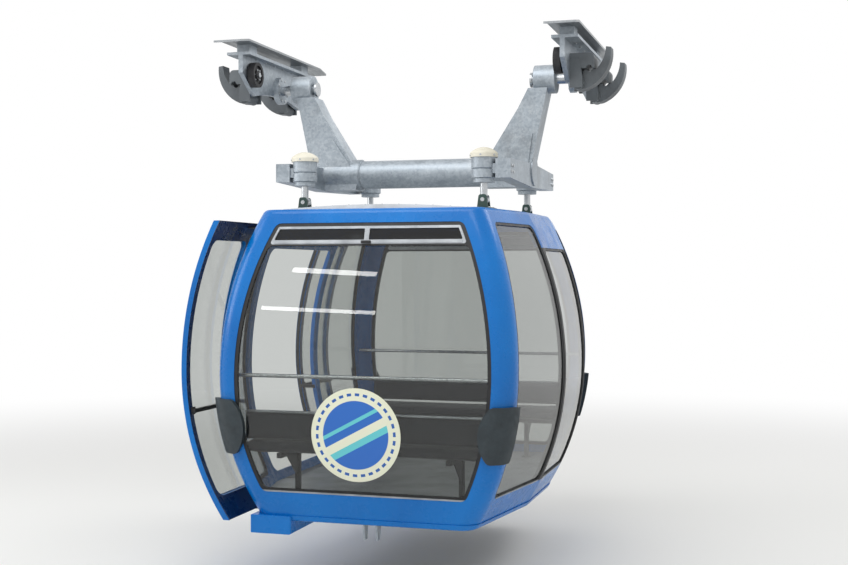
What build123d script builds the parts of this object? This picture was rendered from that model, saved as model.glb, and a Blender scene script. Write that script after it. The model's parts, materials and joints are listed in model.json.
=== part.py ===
# A cable car cabin that hangs between two parallel haul ropes.
# The cabin is built about its own middle: x across, y along the ropes (front at -y),
# z up from its underside. At the end all of it is moved so that the origin lies on the
# axis of the rope on the door side, midway between the two grips that hold it.
from build123d import *
import os
from math import atan2, degrees, radians, sqrt, tan

# Ropes and hanger, mm
rope_gauge = 3200
rope_d = 50
rope_height = 3670
running_clearance = 0.08

# Cabin body
body_height = 2495
side_half = 1400            # half width at the waist, in the middle of a side
side_waist = 1180           # height of the widest point
side_up_r = 2740
side_low_r = 2145
corner_half = 1205          # half width where a side meets the nose
nose_half = 1700            # half length at the nose's most forward point
nose_waist = 950
nose_up_r = 4560
nose_low_r = 3820
corner_r = 150
rim_edge_r = 55
sill_edge_r = 42
lip_low = 14                # raised lip round the sill
lip_high = 50
lip_out = 7
frame_depth = 60
sill_h = 240
rim_h = 115
header_h = 190
pillar_front = 150          # seen from the front
pillar_side = 150           # seen from the side
mullion_y = 480
mullion_w = 50
window_corner_r = 70
glass_t = 10
glass_inset = 12
end_seal_w = 30
side_seal_w = 22
seal_inset = 4
seal_t = 30
trim_h = 13
trim_t = 7
roof_t = 40
roof_crown = 35
crown_r = 9000
floor_top = 170
floor_t = 60

# Vent windows over the end panes
vent_low = 2209
vent_high = 2352
vent_from_pillar = 35
vent_inset = 2
vent_t = 30
vent_bar = 20
vent_sill = 34
vent_surround = 14
vent_corner_r = 16

# Sliding door leaves, shown open
leaf_w = 780
leaf_t = 45
leaf_gap = 5
leaf_bottom = -20
leaf_top = 2405
leaf_strip = 70
leaf_head = 155
leaf_foot = 175
leaf_out = 170
leaf_ahead = 100            # from the nose's front to the open leaf's near edge
post_w = 55
post_outer = 25

# What carries the leaves: an arm and bar at waist height, a hanger on a rail at the top
# and a foot from the track box
arm_z = 850
arm_bar = 30
arm_from_leaf = 6
arm_root = 30
rail_w = 24
rail_tall = 40
hanger_t = 12
hanger_w = 90
foot_w = 80

# Seats and rails
seat_half = 1020
seat_h = 640
cushion_t = 95
seat_depth = 440
back_h = 246
back_t = 65
wall_gap = 14
seat_tube = 40
leg_x = 700
rail_h = 1160
rail_d = 32
rail_gap = 24

# Bumper pads on the corners
pad_t = 45
pad_low = 538
pad_high = 972
pad_top_x = 1062
pad_bulge_x = 958
pad_bulge_z = 770
pad_foot_x = 1030
pad_foot_w = 110
pad_wrap = 110
pad_corner_r = 45

# Door track box and guide forks below the floor
track_w = 350
track_in = 600
track_low = -100
track_high = 45
track_ahead = 40            # past the foot of the nose
track_edge_r = 14
guide_from_nose = 320
guide_w = 160
guide_h = 150
guide_t = 14

# Hanger
tube_d = 254
tube_edge_r = 3.2
hub_edge_r = 4.8
tube_h = 2870
tube_half = 1040
arm_t = 220
arm_foot_in = 565
arm_foot_out = 985
arm_waist_in = 905
arm_waist_rise = 540        # waist of the arm above the cross tube
arm_top_w = 170
lean = 12.0                 # degrees that the arms' outer edges lean outwards
gusset_t = 12
gusset_reach = 16 / 27      # how far up towards the waist the gusset goes
gusset_margin = 22
sleeve_t = 14
hub_d = 250
hub_half = 95
hub_x = 1135
shaft_d = 90
damper_x = 787
damper_y = 850
damper_d = 205
damper_low = 2720
damper_high = 2925
damper_base = 30
groove_depth = 8
cap_d = 232
cap_skirt = 35
cap_edge_r = 15
cap_h = 85
rod_d = 60
eye_d = 84
eye_t = 64
bracket_gap = 4
cheek_t = 14
cheek_w = 96
bracket_pin_z = 2580
bracket_pin_d = 34
bracket_foot = 180
bracket_foot_t = 16
beam_in = 900
beam_t = 125
beam_root_h = 212
beam_tip_h = 155
beam_past_damper = 70
lug_w = 110
lug_h = 80

# Carriages and grips
web_x = 1420
web_t = 40
web_half = 780
web_low = -115
web_high = 215
web_end_low = 60
web_shoulder = 260
flange_w = 220
flange_t = 25
collar_t = 50
shaft_past_hub = 40
shaft_cap_d = 130
shaft_cap_t = 18
plate_half = 1000
plate_w = 260
plate_t = 18
plate_h = 320
plate_dip = 30
plate_ramp = 160
block_w = 120
block_len = 160
wheel_y = 600
wheel_z = 60
wheel_d = 220
wheel_w = 60
wheel_rim_t = 28
wheel_hub_d = 90
wheel_web_w = 26
wheel_gap = 12
axle_d = 44
grip_y = 420
jaw_len = 240
jaw_top = 125
jaw_out = 1642
jaw_gap = 6
lever_pivot_x = 1505
lever_pivot_z = -118
lever_t = 130
barrel_d = 104
barrel_len = 190
ear_t = 25
ear_up = 80
ear_out = 40
pin_d = 36

# Extra length of every cutting shape past what it cuts
reach = 3000
over = 300


def drop(rise, radius):
    """How far an arc of this radius falls back over a rise from its widest point."""
    return radius - sqrt(radius**2 - rise**2)


def bowed(width, waist, up_r, low_r, bottom, top):
    """Edges of a bowed side, from its bottom to its top, in a view's own x and height."""
    def at(z):
        return (width - drop(z - waist, up_r if z > waist else low_r), z)
    low = ThreePointArc(at(bottom), at((bottom + waist) / 2), at(waist))
    high = ThreePointArc(at(waist), at((waist + top) / 2), at(top))
    return low + high, at(bottom), at(top)


def half_space(width, waist, up_r, low_r, plane):
    """Everything inside one bowed wall, which runs straight along the plane's normal."""
    curve, foot, head = bowed(width, waist, up_r, low_r, -over, body_height + over)
    back = Polyline(foot, (-reach, -over), (-reach, body_height + over), head)
    return extrude(plane * make_face(curve + back), amount=reach, both=True)


def slab(low, high):
    return Pos(0, 0, (low + high) / 2) * Box(2 * reach, 2 * reach, high - low)


def tapered_side(inset, fold):
    """Everything inside a side wall that is straight as far as the folds and tapers beyond."""
    side = half_space(side_half - inset, side_waist, side_up_r - inset, side_low_r - inset, Plane.XZ)
    taper = degrees(atan2(side_half - corner_half, nose_half - fold))
    bent = side
    for end in (1, -1):
        hinge = Pos(side_half, -end * fold, 0)
        bent &= hinge * Rot(0, 0, -end * taper) * Pos(-side_half, 0, 0) * side
    return bent


def body_volume(inset):
    """The cabin's whole shape, open-ended above and below, with its walls moved in by inset."""
    closed_side = tapered_side(inset, mullion_y)
    door_side = mirror(tapered_side(inset, door_zone_half), Plane.YZ)
    nose = half_space(nose_half - inset, nose_waist, nose_up_r - inset, nose_low_r - inset, Plane.YZ)
    body = closed_side & door_side & nose & mirror(nose, Plane.XZ)
    body = body & slab(-over, body_height + over)
    corners = [e for e in body.edges()
               if abs(e.center().X) > corner_half / 2 and abs(e.center().Y) > (nose_half + door_zone_half) / 2
               and e.bounding_box().size.Z > body_height / 2]
    return fillet(corners, corner_r - inset)


def skin(start, thickness):
    """A wall that follows the body, from start inside its outer face."""
    return body_volume(start) - body_volume(start + thickness)


def opening(plane, low, high, left, right, margin=0, corner_radius=window_corner_r):
    """A prism through a wall. Each side is a number, or a bowed side as a tuple."""
    low, high = low + margin, high - margin

    def side(spec, sign):
        if isinstance(spec, tuple):
            curve, foot, head = bowed(spec[0] - margin, *spec[1:], low, high)
            if sign < 0:
                curve = mirror(curve, Plane.YZ)
                foot, head = (-foot[0], foot[1]), (-head[0], head[1])
            return curve, foot, head
        at = spec - sign * margin
        return Line((at, low), (at, high)), (at, low), (at, high)
    left_curve, left_foot, left_head = side(left, -1)
    right_curve, right_foot, right_head = side(right, 1)
    flat = make_face(left_curve + right_curve + Line(left_foot, right_foot) + Line(left_head, right_head))
    corners = [v for v in flat.vertices() if abs(v.Y - low) < 0.5 or abs(v.Y - high) < 0.5]
    narrow = min(right_head[0] - left_head[0], right_foot[0] - left_foot[0], high - low)
    radius = min(corner_radius - margin / 2, narrow / 4)
    return extrude(plane * fillet(corners, radius), amount=reach, both=True)


def only(shape, test):
    """The solids of a shape whose centre passes the test."""
    return Compound(children=[s for s in shape.solids() if test(s.center())])


def turned(points, spot):
    """A solid of revolution from (radius, height) points, standing on a spot."""
    outline = make_face(Plane.XZ * Polyline(*points, close=True))
    return spot * revolve(outline, Axis.Z, 360)


def lying(x, y, z, diameter, length):
    """A round bar that lies across the cabin, about its own middle."""
    return Pos(x, y, z) * Rot(0, 90, 0) * Cylinder(diameter / 2, length)


def both_ends(shape):
    return Compound(children=[shape, mirror(shape, Plane.XZ)])


# Sizes that follow from the values above
door_zone_half = leaf_w + 2 * leaf_gap
rim_low = body_height - rim_h
header_low = rim_low - header_h
foot_of_nose = nose_half - drop(nose_waist, nose_low_r)
parts = {}

# Halves of space that keep one side or one end of a symmetrical shape
left_half = Pos(-reach / 2, 0, 0) * Box(reach, 2 * reach, 2 * reach)
right_half = mirror(left_half, Plane.YZ)
front_half = Pos(0, -reach / 2, 0) * Box(2 * reach, reach, 2 * reach)

# The body's outer skin, a tube with no floor or roof and a raised lip round its foot
outer_open = body_volume(0)
outer = outer_open & slab(0, body_height)
outer = fillet([e for e in outer.edges() if e.center().Z > body_height - 1], rim_edge_r)
outer = fillet([e for e in outer.edges() if e.center().Z < 1], sill_edge_r)
lip = body_volume(-lip_out) & slab(lip_low, lip_high)
inner = body_volume(frame_depth)
frame = (outer + lip) - inner

# Bowed sides of the windows, seen from the front and from the side
front_side = (corner_half - pillar_front, side_waist, side_up_r, side_low_r)
nose_side = (nose_half - pillar_side, nose_waist, nose_up_r, nose_low_r)
vent_side = (front_side[0] - vent_from_pillar, *front_side[1:])
post_edge = door_zone_half + post_outer
pane_low = mullion_y - mullion_w / 2
pane_high = mullion_y + mullion_w / 2

# Windows at the front and beside the front corners; the rear ones are their mirror images
end_hole = opening(Plane.XZ, sill_h, rim_low, front_side, front_side) & front_half
left_corner_hole = opening(Plane.YZ, sill_h, rim_low, nose_side, -post_edge) & left_half
right_corner_hole = opening(Plane.YZ, sill_h, rim_low, nose_side, -pane_high) & right_half
middle_hole = opening(Plane.YZ, sill_h, header_low, -pane_low, pane_low) & right_half

# Door opening on the left side, with a recess for the closed leaves
door_half = leaf_w - post_w
door_hole = opening(Plane.YZ, sill_h, header_low, -door_half, door_half) & left_half
recess_zone = Box(2 * reach, 2 * (leaf_w + leaf_gap), 2 * (leaf_top + leaf_gap)) & left_half
door_recess = (body_volume(-over / 2) - body_volume(leaf_t + leaf_gap)) & recess_zone

front_holes = end_hole + left_corner_hole + right_corner_hole
walls = frame - front_holes - mirror(front_holes, Plane.XZ) - middle_hole - door_hole - door_recess
parts["sill_frame"] = walls & slab(-over, sill_h)
parts["roof_rim"] = walls & slab(rim_low, body_height + over)
middle_wall = walls & slab(sill_h, rim_low)
for end, y_sign in (("f", -1), ("r", 1)):
    for side, x_sign in (("l", -1), ("r", 1)):
        parts[f"pillar_{end}{side}"] = only(
            middle_wall, lambda c: c.X * x_sign > 0 and c.Y * y_sign > door_zone_half)
parts["door_posts"] = only(middle_wall, lambda c: c.X < 0 and abs(c.Y) < door_zone_half)
closed_side = only(middle_wall, lambda c: c.X > 0 and abs(c.Y) < door_zone_half)
parts["mullions"] = closed_side & slab(sill_h, header_low)
parts["side_header"] = closed_side & slab(header_low, rim_low)

# Glazing, set in from the outer skin, with a rubber seal round each pane
pane_skin = skin(glass_inset, glass_t)
seal_skin = skin(seal_inset, seal_t)
end_light = opening(Plane.XZ, sill_h, vent_low - vent_surround + end_seal_w, front_side, front_side,
                    end_seal_w) & front_half
left_corner_light = opening(Plane.YZ, sill_h, rim_low, nose_side, -post_edge, side_seal_w) & left_half
right_corner_light = opening(Plane.YZ, sill_h, rim_low, nose_side, -pane_high, side_seal_w) & right_half
middle_light = opening(Plane.YZ, sill_h, header_low, -pane_low, pane_low, side_seal_w) & right_half
vent_hole = opening(
    Plane.XZ, vent_low, vent_high, vent_side, vent_side, 0, vent_corner_r) & front_half
parts["front_window"] = pane_skin & end_light
parts["rear_window"] = mirror(parts["front_window"], Plane.XZ)
right_pane = pane_skin & right_corner_light
left_pane = pane_skin & left_corner_light
parts["side_panes_right"] = Compound(children=[
    right_pane, mirror(right_pane, Plane.XZ), pane_skin & middle_light])
parts["side_panes_left"] = both_ends(left_pane)
front_seals = [seal_skin & (end_hole - end_light - vent_hole),
               seal_skin & (left_corner_hole - left_corner_light),
               seal_skin & (right_corner_hole - right_corner_light)]
parts["window_seals"] = Compound(children=front_seals + [mirror(s, Plane.XZ) for s in front_seals]
                                 + [seal_skin & (middle_hole - middle_light)])

# Bright trim strips along the foot of every window
trim_skin = skin(seal_inset - trim_t, trim_t)
trim_zone = slab(sill_h, sill_h + trim_h)
front_trims = [trim_skin & trim_zone & hole for hole in (end_hole, left_corner_hole, right_corner_hole)]
parts["sill_trims"] = Compound(children=front_trims + [mirror(t, Plane.XZ) for t in front_trims]
                               + [trim_skin & trim_zone & middle_hole])

# Vent windows: a frame across the top of each end pane, with two dark panes
vent_skin = skin(vent_inset, vent_t)
light_side = (vent_side[0] - vent_bar, *vent_side[1:])
vent_light = opening(Plane.XZ, vent_low + vent_sill, vent_high - vent_bar, light_side, light_side,
                     0, vent_corner_r / 2)
vent_light = (vent_light & front_half) - Box(2 * vent_bar, 2 * reach, 2 * reach)
parts["vent_frames"] = both_ends((vent_skin & vent_hole) - vent_light)
parts["vent_panes"] = both_ends(pane_skin & vent_light)

# Door leaves, each cut from the closed skin and then slid out and along
leaf_slide = nose_half - leaf_w - leaf_ahead
leaf_skin = outer_open - body_volume(leaf_t)
leaf_zone = Pos(-reach / 2, -leaf_w / 2, (leaf_bottom + leaf_top) / 2) * Box(
    reach, leaf_w - leaf_gap, leaf_top - leaf_bottom)
leaf_light = opening(Plane.YZ, leaf_bottom + leaf_foot, leaf_top - leaf_head, -leaf_w + leaf_strip, -leaf_strip)
leaf_open = Pos(-leaf_out, -leaf_slide, 0)
parts["door_leaf_front"] = leaf_open * ((leaf_skin & leaf_zone) - leaf_light)
parts["door_glass_front"] = leaf_open * (pane_skin & leaf_zone & leaf_light)
parts["door_leaf_rear"] = mirror(parts["door_leaf_front"], Plane.XZ)
parts["door_glass_rear"] = mirror(parts["door_glass_front"], Plane.XZ)

# Floor and roof
parts["floor_pan"] = inner & slab(floor_top - floor_t, floor_top)
crown = Pos(0, 0, body_height + roof_crown - crown_r) * Rot(90, 0, 0) * Cylinder(crown_r, 2 * reach)
parts["roof_panel"] = inner & slab(body_height - roof_t, body_height + over) & crown

# Door arms: a bar along the inside of each open leaf, and its root on the door post
leaf_near = leaf_w + leaf_slide
leaf_far = leaf_slide


def leaf_inner_x(z):
    """Distance of the open leaf's inner face from the middle, at a height."""
    radius = side_up_r if z > side_waist else side_low_r
    return side_half - drop(z - side_waist, radius) + leaf_out - leaf_t


bar_x = leaf_inner_x(arm_z) - arm_from_leaf - arm_bar / 2
root_y = leaf_w - arm_root
post_face_x = bar_x - leaf_out + arm_from_leaf + arm_bar / 2 - leaf_gap
bar_len = leaf_near - leaf_strip / 2 - root_y
arm_one = Pos(-bar_x, -(root_y + bar_len / 2), arm_z) * Box(arm_bar, bar_len, arm_bar)
elbow = Pos(-(bar_x + arm_bar / 2 + post_face_x) / 2, -root_y, arm_z) * Box(
    bar_x + arm_bar / 2 - post_face_x, arm_bar, arm_bar)
arm_one = arm_one + elbow
outer_corners = arm_one.edges().filter_by(Axis.Z).sort_by_distance((-bar_x - arm_bar, -root_y + arm_bar, arm_z))
arm_one = fillet(outer_corners[0], arm_bar * 0.8)
for y in (leaf_near - leaf_strip / 2 - arm_bar, leaf_far + leaf_strip / 2):
    lug_len = 2 * arm_from_leaf
    arm_one = arm_one + Pos(-(leaf_inner_x(arm_z) - arm_from_leaf / 2), -y, arm_z) * Box(
        lug_len, 2 * arm_bar, 2 * arm_bar)
arm_one = arm_one - parts["door_leaf_front"] - parts["door_posts"]
parts["door_arms"] = both_ends(arm_one)

# Door carriers: a rail in the head of the recess with a hanger to each leaf, and feet
rail_z = leaf_top - rail_tall
rail = skin(leaf_t + leaf_gap - rail_w, rail_w) & slab(rail_z - rail_tall / 2, rail_z + rail_tall / 2)
rail = rail & left_half & Box(2 * reach, 2 * leaf_w, 2 * body_height)
rail_x = leaf_inner_x(rail_z) - leaf_out - leaf_gap
hanger_outer = leaf_inner_x(rail_z) + leaf_gap
hanger_flat = make_face(Polyline(
    (-rail_x, -(leaf_w - hanger_w)), (-rail_x, -(leaf_w - leaf_gap)),
    (-(hanger_outer - hanger_w), -(leaf_w - leaf_gap)), (-(hanger_outer - hanger_w), -(leaf_far + 2 * hanger_w)),
    (-hanger_outer, -(leaf_far + 2 * hanger_w)), (-hanger_outer, -(leaf_w - hanger_w)), close=True))
hanger_flat = fillet(hanger_flat.vertices(), hanger_t)
hanger = Pos(0, 0, rail_z) * extrude(hanger_flat, amount=hanger_t / 2, both=True)
hanger = hanger - parts["door_leaf_front"] - walls
foot_top = leaf_bottom
foot_x = leaf_inner_x(foot_top) + leaf_t * 0.6
foot_y = leaf_far + 2 * foot_w
track_out = track_in + track_w
foot = Pos(-(track_out + foot_x) / 2, -foot_y, foot_top - hanger_t / 2) * Box(foot_x - track_out, foot_w, hanger_t)
foot = fillet(foot.edges().filter_by(Axis.Z).group_by(Axis.X)[0], foot_w / 4)
parts["door_carriers"] = Compound(children=[
    rail + hanger + mirror(hanger, Plane.XZ), foot, mirror(foot, Plane.XZ)])

# Door track box under the door side of the floor, which looks out past the nose's foot
track_len = 2 * (foot_of_nose + track_ahead)
track = Pos(-(track_in + track_w / 2), 0, (track_low + track_high) / 2) * Box(
    track_w, track_len, track_high - track_low)
track = fillet(track.edges().filter_by(Axis.Z) + track.edges().filter_by(Axis.Y), track_edge_r)
parts["door_track"] = track - (outer + lip)

# Seats: a cushion and a back across each end, on a tube frame with legs
wall_at = nose_half - frame_depth - wall_gap - drop(seat_h - nose_waist, nose_low_r)
cushion = Pos(0, -(wall_at - seat_depth / 2), seat_h - cushion_t / 2) * Box(
    2 * seat_half, seat_depth, cushion_t)
cushion = fillet(cushion.edges(), cushion_t / 4)
seat_back = Pos(0, -(wall_at - back_t / 2), seat_h + back_h / 2) * Box(
    2 * seat_half, back_t, back_h)
seat_back = fillet(seat_back.edges(), back_t / 4)
parts["seat_front"] = cushion + seat_back
parts["seat_rear"] = mirror(parts["seat_front"], Plane.XZ)
frame_z = seat_h - cushion_t - seat_tube / 2
tube_y = wall_at - seat_depth + seat_tube
seat_metal = Pos(0, -tube_y, frame_z) * Box(2 * seat_half - 2 * seat_tube, seat_tube, seat_tube)
for x in (-leg_x, leg_x):
    leg = Pos(x, -tube_y, (floor_top + frame_z) / 2) * Box(seat_tube, seat_tube, frame_z - floor_top)
    rib = Pos(x, -(wall_at - seat_depth / 2), frame_z) * Box(seat_tube, seat_depth, seat_tube)
    brace = Pos(x, -tube_y, floor_top) * extrude(Plane.YZ * make_face(Polyline(
        (0, frame_z - floor_top), (-seat_depth * 0.6, frame_z - floor_top),
        (0, (frame_z - floor_top) / 3), close=True)), amount=seat_tube / 8, both=True)
    plate = Pos(x, -tube_y, floor_top + seat_tube / 8) * Box(2 * seat_tube, 2 * seat_tube, seat_tube / 4)
    seat_metal = seat_metal + leg + rib + brace + plate
parts["seat_frames"] = both_ends(seat_metal)

# Handrails across the end panes
rail_y = nose_half - frame_depth - rail_gap - rail_d / 2 - drop(rail_h - nose_waist, nose_up_r)
parts["handrails"] = both_ends(inner & lying(0, -rail_y, rail_h, rail_d, 2 * reach))

# Rubber bumper pads wrapped round the corners at waist height, shaped like a shield
pad_skin = body_volume(-pad_t) - outer_open
pad_past = corner_half + reach / 10
pad_inner_edge = ThreePointArc((pad_top_x, pad_high), (pad_bulge_x, pad_bulge_z), (pad_foot_x, pad_low))
pad_rest = Polyline((pad_foot_x, pad_low), (pad_foot_x + pad_foot_w, pad_low),
                    (pad_past, (pad_low + pad_bulge_z) / 2), (pad_past, pad_high), (pad_top_x, pad_high))
pad_flat = make_face(pad_inner_edge + pad_rest)
pad_corners = [v for v in pad_flat.vertices() if v.X < pad_foot_x + pad_foot_w + 1]
pad_prism = extrude(Plane.XZ * fillet(pad_corners, pad_corner_r), amount=reach, both=True)
pad_prism = pad_prism + mirror(pad_prism, Plane.YZ)
pad_ends = Pos(0, -reach / 2 - (nose_half - pad_wrap), 0) * Box(2 * reach, reach, 2 * reach)
pads = pad_skin & pad_prism & pad_ends
parts["bumper_pads"] = both_ends(pads)

# Guide forks under the floor
guide_y = nose_half - guide_from_nose
floor_low = floor_top - floor_t
fork = Pos(0, -guide_y, -guide_t / 2) * Box(guide_w, guide_w, guide_t)
fork = fork + Pos(0, -guide_y, floor_low / 2) * Box(guide_w / 2, guide_w / 2, floor_low)
fork_flat = make_face(Polyline(
    (-guide_w / 3, 0), (-guide_w / 6, -guide_h), (guide_w / 6, -guide_h), (guide_w / 3, 0), close=True))
for x_sign in (-1, 1):
    fork = fork + Pos(x_sign * guide_w / 3, -guide_y, 0) * extrude(
        Plane.YZ * fork_flat, amount=guide_t / 2, both=True)
parts["floor_guides"] = both_ends(fork)

# Hanger: cross tube, two splayed arms with gusset plates and bearing hubs
tube = lying(0, 0, tube_h, tube_d, 2 * tube_half)
parts["cross_tube"] = fillet(tube.edges(), tube_edge_r)
hub_z = rope_height
arm_low = tube_h - tube_d / 2 - sleeve_t
arm_waist_h = tube_h + arm_waist_rise
gusset_high = tube_h + arm_waist_rise * gusset_reach
arm_top = hub_z - hub_d / 3


def outer_edge(z):
    return arm_foot_out + (z - arm_low) * tan(radians(lean))


def inner_edge(z):
    return arm_foot_in + (z - tube_h) * (arm_waist_in - arm_foot_in) / (arm_waist_h - tube_h)


arm_flat = make_face(Polyline(
    (arm_foot_in, tube_h), (arm_foot_in + 30, arm_low), (arm_foot_out, arm_low),
    (outer_edge(arm_top), arm_top), (outer_edge(arm_top) - arm_top_w, arm_top),
    (arm_waist_in, arm_waist_h), close=True))
arm = extrude(Plane.XZ * arm_flat, amount=arm_t / 2, both=True)
gusset_flat = make_face(Polyline(
    (inner_edge(tube_h) + gusset_margin, tube_h), (outer_edge(tube_h) - gusset_margin, tube_h),
    (outer_edge(gusset_high) - 2 * gusset_margin, gusset_high),
    (inner_edge(gusset_high) + 2 * gusset_margin, gusset_high), close=True))
gusset = extrude(Plane.XZ * gusset_flat, amount=arm_t / 2 + gusset_t, both=True)
hub = lying(hub_x, 0, hub_z, hub_d, 2 * hub_half)
hub = fillet(hub.edges(), hub_edge_r)
hub_bore = lying(hub_x, 0, hub_z, shaft_d + 2 * running_clearance, 4 * hub_half)
sleeve = lying((arm_foot_in + arm_foot_out) / 2, 0, tube_h, tube_d + 2 * sleeve_t, arm_foot_out - arm_foot_in)
arm = arm + gusset + sleeve - tube + hub - hub_bore
parts["hanger_arm_r"] = arm
parts["hanger_arm_l"] = mirror(arm, Plane.YZ)

# Dampers: a housing with a domed cap over a rod that stands in a bracket on the roof
damper_mid = (damper_low + damper_high) / 2
damper_r = damper_d / 2
base_r = damper_r - damper_base / 2
housing_line = [
    (0, damper_low), (base_r, damper_low), (base_r, damper_low + damper_base),
    (damper_r, damper_low + damper_base + groove_depth), (damper_r, damper_mid),
    (damper_r - groove_depth, damper_mid + groove_depth),
    (damper_r, damper_mid + 2 * groove_depth), (damper_r, damper_high), (0, damper_high)]
dome_rise = cap_h - cap_skirt
dome_r = ((cap_d / 2)**2 + dome_rise**2) / (2 * dome_rise)
cap = Pos(0, 0, damper_high + cap_h) * Cylinder(cap_d / 2, 2 * cap_h)   # ends above the dome
cap = cap & Pos(0, 0, damper_high + cap_h - dome_r) * Sphere(dome_r)
cap = fillet(cap.edges().filter_by(GeomType.CIRCLE).sort_by(Axis.Z)[1], cap_edge_r)
roof_at = body_height + roof_crown - drop(damper_x, crown_r)
spots = [Pos(x_sign * damper_x, y_sign * damper_y, 0) for x_sign in (-1, 1) for y_sign in (-1, 1)]
housing = turned(housing_line, Pos(0, 0, 0))
rod = Pos(0, 0, (bracket_pin_z + damper_low) / 2) * Cylinder(rod_d / 2, damper_low - bracket_pin_z)
eye = Pos(0, 0, bracket_pin_z) * Rot(90, 0, 0) * Cylinder(eye_d / 2, eye_t)
pin = Pos(0, 0, bracket_pin_z) * Rot(90, 0, 0) * Cylinder(
    bracket_pin_d / 2, eye_t + 2 * (bracket_gap + cheek_t) + 2 * bracket_gap)
foot_plate = Pos(0, 0, roof_at + bracket_foot_t / 2) * Box(bracket_foot, bracket_foot, bracket_foot_t)
foot_plate = fillet(foot_plate.edges().filter_by(Axis.Z), bracket_foot_t)
foot_plate = foot_plate + Pos(0, 0, roof_at - bracket_foot_t) * Box(cheek_w, cheek_w, 2 * bracket_foot_t)
bracket = foot_plate
for side in (-1, 1):
    cheek_y = side * (eye_t / 2 + bracket_gap + cheek_t / 2)
    cheek_flat = make_face(Polyline(
        (-cheek_w / 2, roof_at), (cheek_w / 2, roof_at), (cheek_w / 3, bracket_pin_z + eye_d / 2),
        (-cheek_w / 3, bracket_pin_z + eye_d / 2), close=True))
    cheek_flat = fillet(cheek_flat.vertices().sort_by(Axis.Y)[2:], cheek_w / 5)
    bracket = bracket + Pos(0, cheek_y, 0) * extrude(Plane.XZ * cheek_flat, amount=cheek_t / 2, both=True)
rod = rod + eye + pin
parts["damper_housings"] = Compound(children=[spot * housing for spot in spots])
parts["damper_caps"] = Compound(children=[spot * cap for spot in spots])
parts["damper_rods"] = Compound(children=[spot * rod for spot in spots])
parts["damper_brackets"] = Compound(children=[
    spot * (bracket - pin) - parts["roof_panel"] for spot in spots])

# Beams that carry the dampers, from the ends of the cross tube
beam_mid = (damper_low + damper_high) / 2 + groove_depth
beam_end = damper_y + beam_past_damper
beam_flat = make_face(Polyline(
    (0, beam_mid - beam_root_h / 2), (-beam_end, beam_mid - beam_tip_h / 2),
    (-beam_end, beam_mid + beam_tip_h / 2), (0, beam_mid + beam_root_h / 2), close=True))
beam = Pos(beam_in + beam_t / 2, 0, 0) * extrude(Plane.YZ * beam_flat, amount=beam_t / 2, both=True)
lug = Pos((damper_x + beam_in) / 2, -damper_y, beam_mid) * Box(beam_in - damper_x, lug_w, lug_h)
lug = lug - Pos(damper_x, -damper_y, 0) * housing
beam = beam + lug - tube - arm
front_beams = [beam, mirror(beam, Plane.YZ)]
parts["damper_beams"] = Compound(children=front_beams + [mirror(b, Plane.XZ) for b in front_beams])

# Carriages: a web with a top flange, drawn with their heights counted from the rope's axis
at_rope = Pos(0, 0, rope_height)
belly = ThreePointArc((-web_half + web_shoulder, web_low), (0, web_low / 2), (web_half - web_shoulder, web_low))
web_rest = Polyline(
    (web_half - web_shoulder, web_low), (web_half, web_end_low), (web_half, web_high),
    (-web_half, web_high), (-web_half, web_end_low), (-web_half + web_shoulder, web_low))
web_flat = make_face(belly + web_rest)
web = Pos(web_x, 0, 0) * extrude(Plane.YZ * web_flat, amount=web_t / 2, both=True)
flange_x = web_x + web_t / 2
flange = Pos(flange_x, 0, web_high + flange_t / 2) * Box(flange_w, 2 * web_half, flange_t)
collar = lying(web_x - web_t / 2 - collar_t / 2, 0, 0, hub_d, collar_t)
shaft_start = hub_x - hub_half - shaft_past_hub
shaft = lying((shaft_start + web_x) / 2, 0, 0, shaft_d, web_x - shaft_start)
shaft = shaft + lying(shaft_start + shaft_cap_t / 2, 0, 0, shaft_cap_d, shaft_cap_t)
carriage = web + flange + collar
axles, jaws = [shaft], []
rope = Pos(rope_gauge / 2, 0, 0) * Rot(90, 0, 0) * Cylinder(rope_d / 2, 2 * reach)
axle_len = wheel_w + 2 * wheel_gap
axle_x = web_x - web_t / 2 - axle_len / 2
for y_sign in (-1, 1):
    axles.append(lying(axle_x, y_sign * wheel_y, wheel_z, axle_d, axle_len))
    block_h = plate_h - web_high - flange_t
    block = Pos(flange_x, y_sign * wheel_y, plate_h - block_h / 2) * Box(block_w, block_len, block_h)
    carriage = carriage + block
    jaw_in = web_x + web_t / 2
    jaw = Pos((jaw_in + jaw_out) / 2, y_sign * grip_y, jaw_top / 2) * Box(jaw_out - jaw_in, jaw_len, jaw_top)
    jaw = fillet(jaw.edges().filter_by(Axis.Y).sort_by(Axis.Z)[2:].sort_by(Axis.X)[-1], jaw_top / 3)
    for side in (-1, 1):
        ear_y = y_sign * grip_y + side * (barrel_len / 2 + ear_t / 2 + jaw_gap)
        ear_flat = make_face(Polyline(
            (jaw_in, ear_up), (jaw_in, lever_pivot_z - ear_out), (lever_pivot_x + ear_out, lever_pivot_z - ear_out),
            (lever_pivot_x + ear_out, lever_pivot_z + ear_out), (jaw_in + ear_up, ear_up), close=True))
        jaw = jaw + Pos(0, ear_y, 0) * extrude(Plane.XZ * ear_flat, amount=ear_t / 2, both=True)
    pin_len = barrel_len + 2 * ear_t + 2 * jaw_gap
    jaw = jaw + Pos(lever_pivot_x, y_sign * grip_y, lever_pivot_z) * Rot(90, 0, 0) * Cylinder(pin_d / 2, pin_len)
    jaws.append(jaw - rope)
carriage = carriage - shaft
parts["carriage_r"] = at_rope * carriage
parts["carriage_l"] = mirror(parts["carriage_r"], Plane.YZ)
for name, pieces in (("carriage_axles", axles), ("carriage_jaws", jaws)):
    placed = [at_rope * piece for piece in pieces]
    parts[name] = Compound(children=placed + [mirror(piece, Plane.YZ) for piece in placed])

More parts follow.
